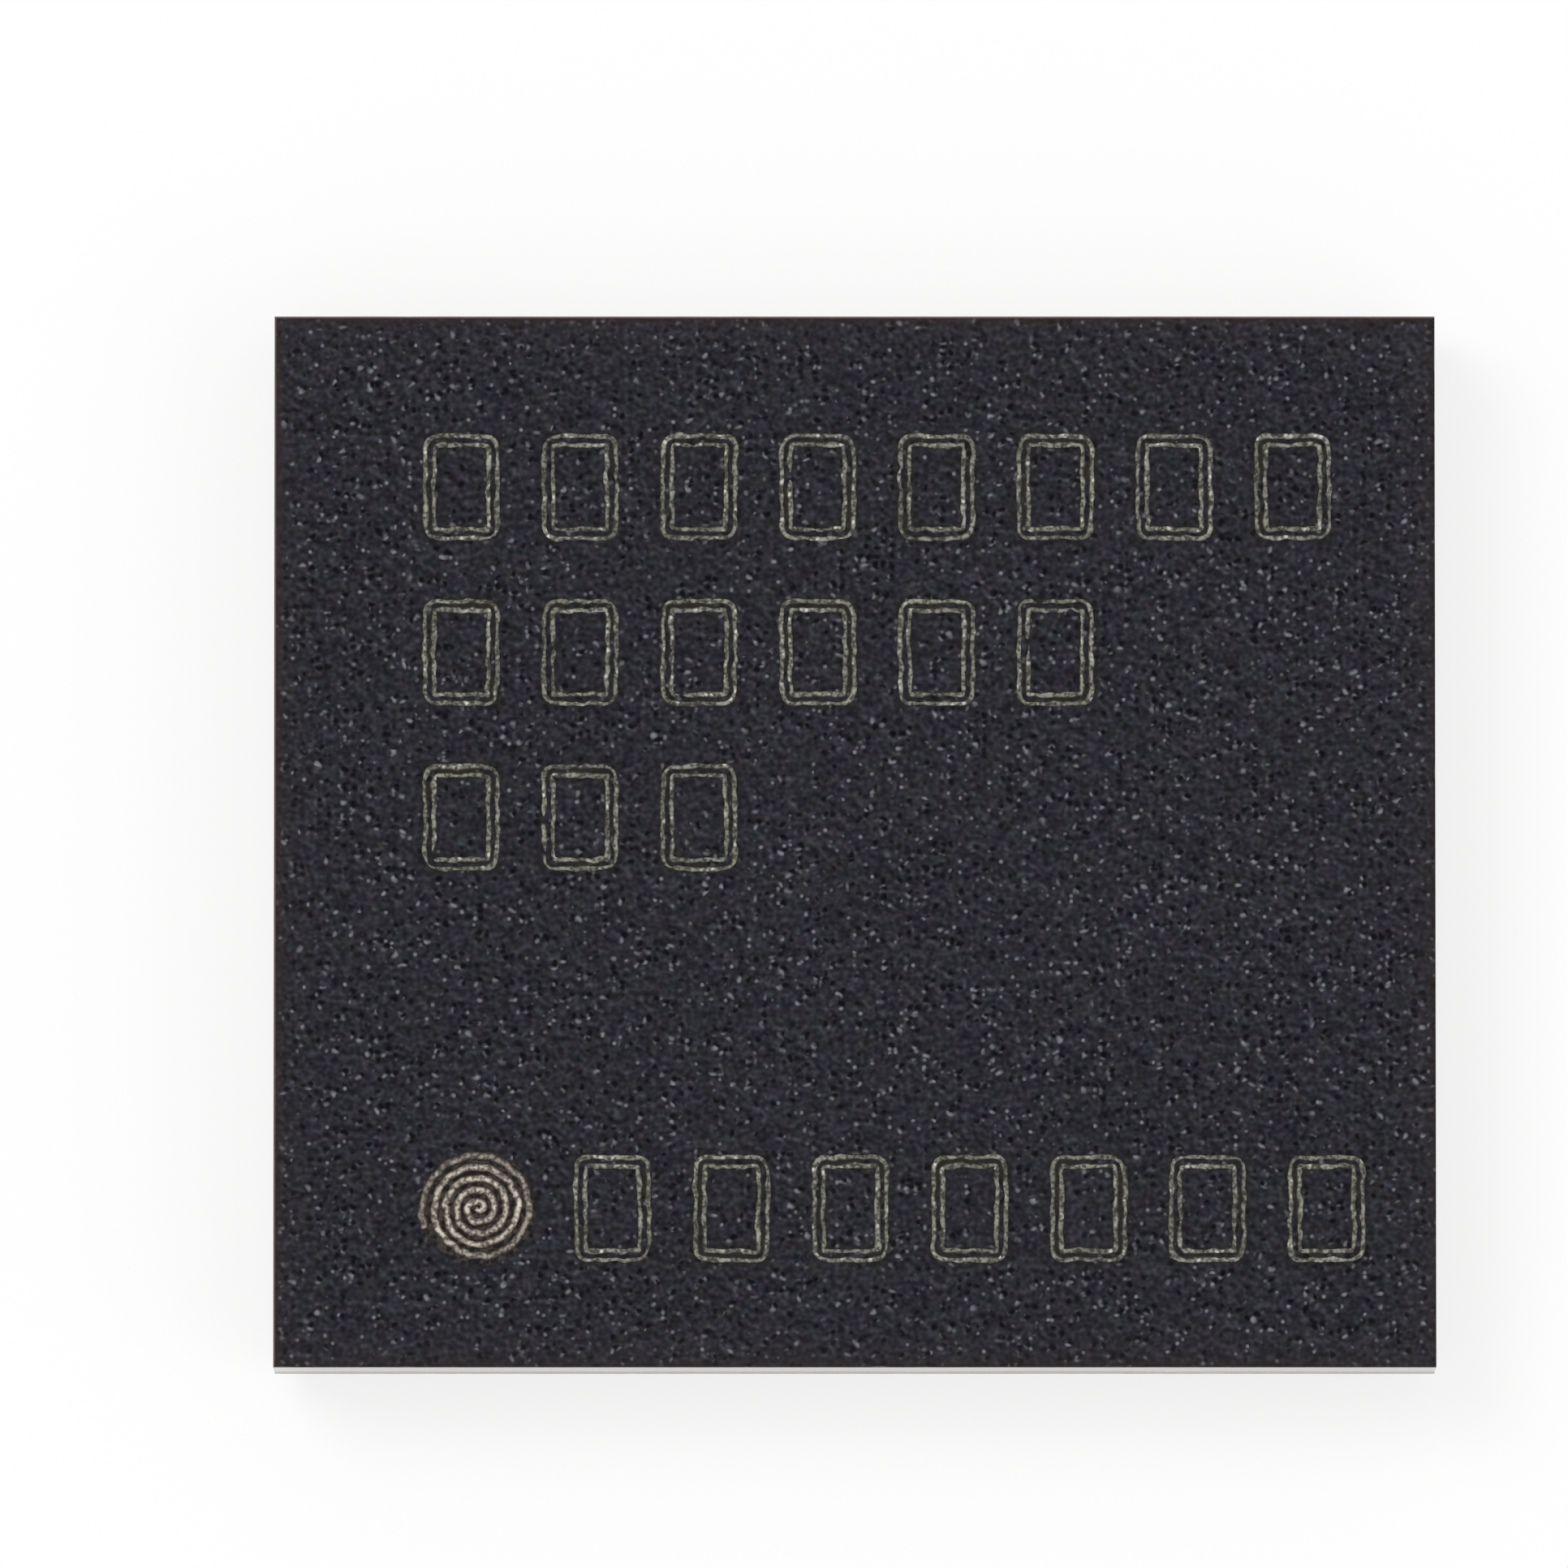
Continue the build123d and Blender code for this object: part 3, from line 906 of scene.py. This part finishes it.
def copper_distance(x, y):
    """Distance outside the copper, below zero on it: joined shapes take the lesser distance,
    and a cut takes the greater of the distance and the cut's own, turned round."""
    strip_x = column_x(2) - PAD_RADIUS
    strip_y = ROW_Y[ROW_LETTERS.index("g")] - STRIP_LEAD
    metal = between(x, y, -COPPER_HIGH[0], -COPPER_HIGH[1], COPPER_HIGH[0], COPPER_HIGH[1])
    metal = np.maximum(metal, -between(x, y, 2 * MASK_LOW[0], strip_y, strip_x, 2 * MASK_HIGH[1]))
    notch_y = ROW_Y[1]
    for side in (-1, 1):
        notch_x = side * (COPPER_HIGH[0] - NOTCH_LENGTH / 2)
        cut = box_distance(x, y, notch_x + side * 0.5 * MM, notch_y,
                           NOTCH_LENGTH / 2 + 0.5 * MM, NOTCH_WIDTH / 2)
        mark = box_distance(x, y, notch_x, notch_y, MARK_HALF_X, MARK_HALF_Y)
        if side < 0:
            mark = np.maximum(mark, -mark - MARK_LINE)
        metal = np.minimum(np.maximum(metal, -cut), mark)
    carried = []
    for letter, column, west, east, south, north in ISLANDS:
        ball_x, ball_y = column_x(column), ROW_Y[ROW_LETTERS.index(letter)]
        carried.append((ball_x, ball_y))
        metal = np.minimum(metal, between(x, y, ball_x - west * MM, ball_y - south * MM,
                                          ball_x + east * MM, ball_y + north * MM))
    for ball_x, ball_y in BALLS:
        own = not any(math.hypot(ball_x - a, ball_y - b) < 10 * UM for a, b in carried)
        if own and ball_x < strip_x and ball_y > strip_y:
            metal = np.minimum(metal, np.hypot(x - ball_x, y - ball_y) - PAD_RADIUS)
    # Bare patch in the plane between the second and third balls of row A, with a short trace
    near_x, far_x = column_x(2) + 0.17 * MM, column_x(4) - 0.13 * MM
    first_y = ROW_Y[0]
    hole = between(x, y, near_x, first_y - 0.04 * MM, far_x, first_y + 0.16 * MM)
    metal = np.maximum(metal, -hole)
    spur = between(x, y, near_x + 0.05 * MM, first_y + 0.04 * MM,
                   far_x + 0.1 * MM, first_y + 0.08 * MM)
    metal = np.minimum(metal, spur)
    # Corner trace near the last row: it leaves its island, turns, and ends in a tongue
    trace_x, trace_low, trace_high = -2.545 * MM, 2.20 * MM, 2.50 * MM
    arm_low, tongue_high = trace_high - 37 * UM, 2.66 * MM
    corner = between(x, y, trace_x, trace_low, trace_x + 30 * UM, trace_high)
    arm = between(x, y, trace_x, arm_low, trace_x + 0.17 * MM, trace_high)
    tongue = between(x, y, trace_x + 0.15 * MM, arm_low, trace_x + 0.50 * MM, tongue_high)
    for shape in (corner, arm, tongue):
        metal = np.minimum(metal, shape)
    # Mark at the corner: two round dots side by side
    for dot_x in (-2.795 * MM, -2.695 * MM):
        metal = np.minimum(metal, np.hypot(x - dot_x, y - 2.465 * MM) - 58 * UM)
    return metal


def ruled(low, high, pitch, through):
    """Grid lines a pitch apart, one of them through a given place, and one at each end."""
    first = math.ceil((low - through) / pitch + 0.2)
    last = math.floor((high - through) / pitch - 0.2)
    return np.concatenate([[low], through + pitch * np.arange(first, last + 1), [high]])


class CHIP_OT_mask_film(bpy.types.Operator):
    """Solder mask: stands a step lower over the copper, with a round groove about each ball"""

    bl_idname = "chip.mask_film"
    bl_label = "Solder Mask"

    def execute(self, context):
        mask = context.scene.chip_mask
        rng = np.random.default_rng(43)
        pitch = ROW_STEP / mask.cells
        xs = ruled(MASK_LOW[0], MASK_HIGH[0], pitch, column_x(0))
        ys = ruled(MASK_LOW[1], MASK_HIGH[1], pitch, ROW_Y[0])
        x, y = np.meshgrid(xs, ys)
        edge = copper_distance(x, y)
        gap = np.full(x.shape, 1.0)
        for ball_x, ball_y in BALLS:
            gap = np.minimum(gap, np.hypot(x - ball_x, y - ball_y))
        ring = gap - mask.ring_radius
        step, groove = 6 * UM, 2.5 * UM
        heights = MASK_LOW[2] + step * ease(edge, -12 * UM, 12 * UM)
        heights = heights + groove * (1 - ease(abs(ring), 4 * UM, 24 * UM))
        heights = heights + 0.4 * UM * abs(blurred_noise(rng, x.shape, 4))
        levels = np.array([0.1, 0.5, 1.0])
        around = 2 * (len(xs) + len(ys)) - 4
        teeth = np.abs(blurred_noise(rng, (len(levels), around), 1)).clip(0, 2) / 2
        piece = slab("solder_mask_film", xs, ys, heights, MASK_HIGH[2], levels, 2 * UM * teeth,
                     {"copper_edge": edge / MM, "ring_gap": ring / MM})
        piece.data.materials.append(mask_finish(mask))
        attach(piece, "root")
        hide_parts("solder_mask")
        return {"FINISHED"}


class CHIP_OT_solder_balls(bpy.types.Operator):
    """Solder balls: spheres cut off at their seats, each with flats of its own"""

    bl_idname = "chip.solder_balls"
    bl_label = "Solder Balls"

    def execute(self, context):
        solder = context.scene.chip_solder
        rng = np.random.default_rng(57)
        finish = solder_finish(solder)
        radius = BALL_DIAMETER / 2
        seat_angle = math.acos((radius - SEAT_Z) / radius)
        flats, unevenness = 3, 0.012
        polar = seat_angle * np.array([0.21, 0.42, 0.63, 0.83, 1.0])
        turn = np.arange(solder.around) * FULL_TURN / solder.around
        steep, level = np.sin(polar)[:, None], -np.cos(polar)[:, None]
        rings = np.stack([steep * np.cos(turn), steep * np.sin(turn), level + 0 * turn], -1)
        sphere = np.vstack([[0, 0, -1], rings.reshape(-1, 3)])
        ball_faces = round_faces(len(polar), solder.around)
        for node, (low, high), y in zip(ROW_NODES, ROW_BOXES, ROW_Y):
            centres = row_centres(low, high)
            points, groups = [], ([], [], [])
            for count, x in enumerate(centres):
                shape = sphere.copy()
                for _ in range(flats):
                    way = rng.standard_normal(3)
                    way[2] = -abs(way[2])
                    way /= np.linalg.norm(way)
                    past = np.maximum(shape @ way - (1 - solder.dent * rng.uniform(0.4, 1)), 0)
                    shape -= past[:, None] * way
                shape[1:, :2] *= 1 + unevenness * rng.standard_normal((len(shape) - 1, 1))
                shape[-solder.around:, 2] = sphere[-1, 2]
                shape = shape * radius
                shape[:, 2] += radius
                points.append(shape + (x, y, 0))
                for group, faces in zip(groups, ball_faces):
                    group.append(faces + count * len(sphere))
            points = np.concatenate(points)
            points[:, 2] = points[:, 2].clip(0, SEAT_Z)
            faces = [np.concatenate(group) for group in groups]
            piece = new_piece(node.replace("ball_row", "solder_row"), points, faces,
                              (True, True, False))
            piece.data.materials.append(finish)
            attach(piece, "root")
            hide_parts(node)
        return {"FINISHED"}


class CHIP_OT_carried_parts(bpy.types.Operator):
    """Laminate, copper, vias, traces, pillars and die: the solid model's parts with finishes"""

    bl_idname = "chip.carried_parts"
    bl_label = "Laminate and Inner Parts"

    def execute(self, context):
        laminate = context.scene.chip_laminate
        copper = copper_finish(laminate)
        finishes = {
            "laminate_core": laminate_finish(laminate),
            "ball_side_copper": copper,
            "via_posts": copper,
            "mould_side_traces": copper,
            "die_pillars": copper,
            "silicon_die": silicon_finish(),
        }
        for node, finish in finishes.items():
            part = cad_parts[node]
            part.data.materials.clear()
            part.data.materials.append(finish)
        return {"FINISHED"}


# Studio: each light's name, place, side and level, and where the picture's middle lies

LIGHTS = (
    ("upper left light", (-0.16, 0.12, 0.26), 0.16, 0.34),
    ("lower right light", (0.20, -0.10, 0.20), 0.20, 0.16),
)
SURROUND_LEVEL = 0.55
PICTURE_MIDDLE = (-0.362 * MM, 0.293 * MM, CAP_HIGH[2])


def soft_light(name, place, target, size, level):
    """Square light that faces the target. At the target it lights a facing surface to the
    level: power is the level times pi squared times the distance squared."""
    data = bpy.data.lights.new(name, "AREA")
    data.shape = "SQUARE"
    data.size = size
    light = bpy.data.objects.new(name, data)
    from_target = np.array(place) - np.array(target)
    data.energy = level * math.pi ** 2 * float(from_target @ from_target)
    aim(light, place, target)
    bpy.context.scene.collection.objects.link(light)


def aim(thing, place, target):
    """Puts a lamp or camera in its place, turned so that it looks at the target."""
    thing.location = place
    way = Vector(target) - Vector(place)
    thing.rotation_mode = "QUATERNION"
    thing.rotation_quaternion = way.to_track_quat("-Z", "Y")


def seen_directly(finish):
    """1 for camera, glossy and transmission rays, and 0 for light on its way to a surface."""
    kinds = finish.tree.nodes.new("ShaderNodeLightPath")
    rays = ("Is Camera Ray", "Is Glossy Ray", "Is Transmission Ray")
    camera, glossy, through = (Value(finish, kinds.outputs[ray]) for ray in rays)
    return finish.math("MAXIMUM", finish.math("MAXIMUM", camera, glossy), through)


class WorldFinish(Finish):
    """The surroundings: white where they are seen, and an even grey light on the object."""

    def __init__(self, world, level):
        world.use_nodes = True
        self.tree = world.node_tree
        background = self.tree.nodes["Background"]
        seen = seen_directly(self)
        self.feed(background.inputs["Color"], self.mix(seen, (level,) * 3, (1, 1, 1)))


class CHIP_OT_studio(bpy.types.Operator):
    """Studio: pale floor, even white surroundings, two soft lights and the camera"""

    bl_idname = "chip.studio"
    bl_label = "Studio"

    def execute(self, context):
        scene = context.scene
        studio = scene.chip_studio
        scene.view_settings.view_transform = "Standard"
        world = bpy.data.worlds.new("even light")
        scene.world = world
        WorldFinish(world, SURROUND_LEVEL)
        for name, place, size, level in LIGHTS:
            soft_light(name, place, (CAP_LOW + CAP_HIGH) / 2, size, level)
        self.floor(studio)
        camera = bpy.data.objects.new("camera", bpy.data.cameras.new("camera"))
        scene.collection.objects.link(camera)
        scene.camera = camera
        rise, turn = studio.elevation, studio.azimuth
        back = np.array([
            math.sin(turn) * math.cos(rise),
            -math.cos(turn) * math.cos(rise),
            math.sin(rise),
        ])
        aimed_at = np.array(PICTURE_MIDDLE)
        camera.data.lens = camera.data.sensor_width * studio.distance / studio.field
        camera.data.clip_start = studio.distance / 100
        camera.data.clip_end = 100 * studio.distance
        aim(camera, aimed_at + back * studio.distance, aimed_at)
        return {"FINISHED"}

    def floor(self, studio):
        """A disc whose rings lie at radius r = reach times the share to the third power."""
        reach, rings, spokes = 3.0, 14, 48
        radius = reach * (np.arange(1, rings + 1) / rings) ** 3
        turn = np.arange(spokes) * FULL_TURN / spokes
        x, y = np.outer(radius, np.cos(turn)), np.outer(radius, np.sin(turn))
        points = np.vstack([[0, 0, 0], np.stack([x, y, np.zeros_like(x)], -1).reshape(-1, 3)])
        fan, bands, _ = round_faces(rings, spokes)
        floor = new_piece("floor", points, [fan[:, ::-1], bands[:, ::-1]], (False, False))
        finish = Finish("floor", Roughness=0.9, Specular_IOR_Level=0.0, Emission_Strength=1.0)
        seen = seen_directly(finish)
        grey, glow, black = (0.28, 0.28, 0.28), (0.75, 0.75, 0.75), (0, 0, 0)
        finish.paint(
            Base_Color=finish.mix(seen, studio.floor, grey),
            Emission_Color=finish.mix(seen, black, glow),
        )
        floor.data.materials.append(finish.material)


OPERATORS = (
    CHIP_OT_mould_cap,
    CHIP_OT_mark_cells,
    CHIP_OT_first_corner_dot,
    CHIP_OT_mask_film,
    CHIP_OT_solder_balls,
    CHIP_OT_carried_parts,
    CHIP_OT_studio,
)


class CHIP_PT_panel(bpy.types.Panel):
    """The chip's settings and the buttons that build it."""

    bl_idname = "CHIP_PT_panel"
    bl_label = "RF Transceiver Chip"
    bl_space_type = "VIEW_3D"
    bl_region_type = "UI"
    bl_category = "Chip"

    def draw(self, context):
        for attribute, group in SETTINGS.items():
            box = self.layout.box()
            box.label(text=group.__doc__)
            for key in group.__annotations__:
                box.prop(getattr(context.scene, attribute), key)
        for operator in OPERATORS:
            self.layout.operator(operator.bl_idname)


def register():
    """Makes the settings, the operators and the panel known to Blender."""
    for attribute, group in SETTINGS.items():
        bpy.utils.register_class(group)
        setattr(bpy.types.Scene, attribute, bpy.props.PointerProperty(type=group))
    for kind in (*OPERATORS, CHIP_PT_panel):
        bpy.utils.register_class(kind)


def unregister():
    """Takes back what register made known."""
    for kind in (CHIP_PT_panel, *reversed(OPERATORS)):
        bpy.utils.unregister_class(kind)
    for attribute, group in SETTINGS.items():
        delattr(bpy.types.Scene, attribute)
        bpy.utils.unregister_class(group)


def main():
    """Makes the settings, operators and panel known, then builds every piece."""
    register()
    bpy.ops.chip.mould_cap()
    bpy.ops.chip.mark_cells()
    bpy.ops.chip.first_corner_dot()
    bpy.ops.chip.mask_film()
    bpy.ops.chip.solder_balls()
    bpy.ops.chip.carried_parts()
    bpy.ops.chip.studio()
    bpy.context.view_layer.update()


if __name__ == "__main__":
    main()
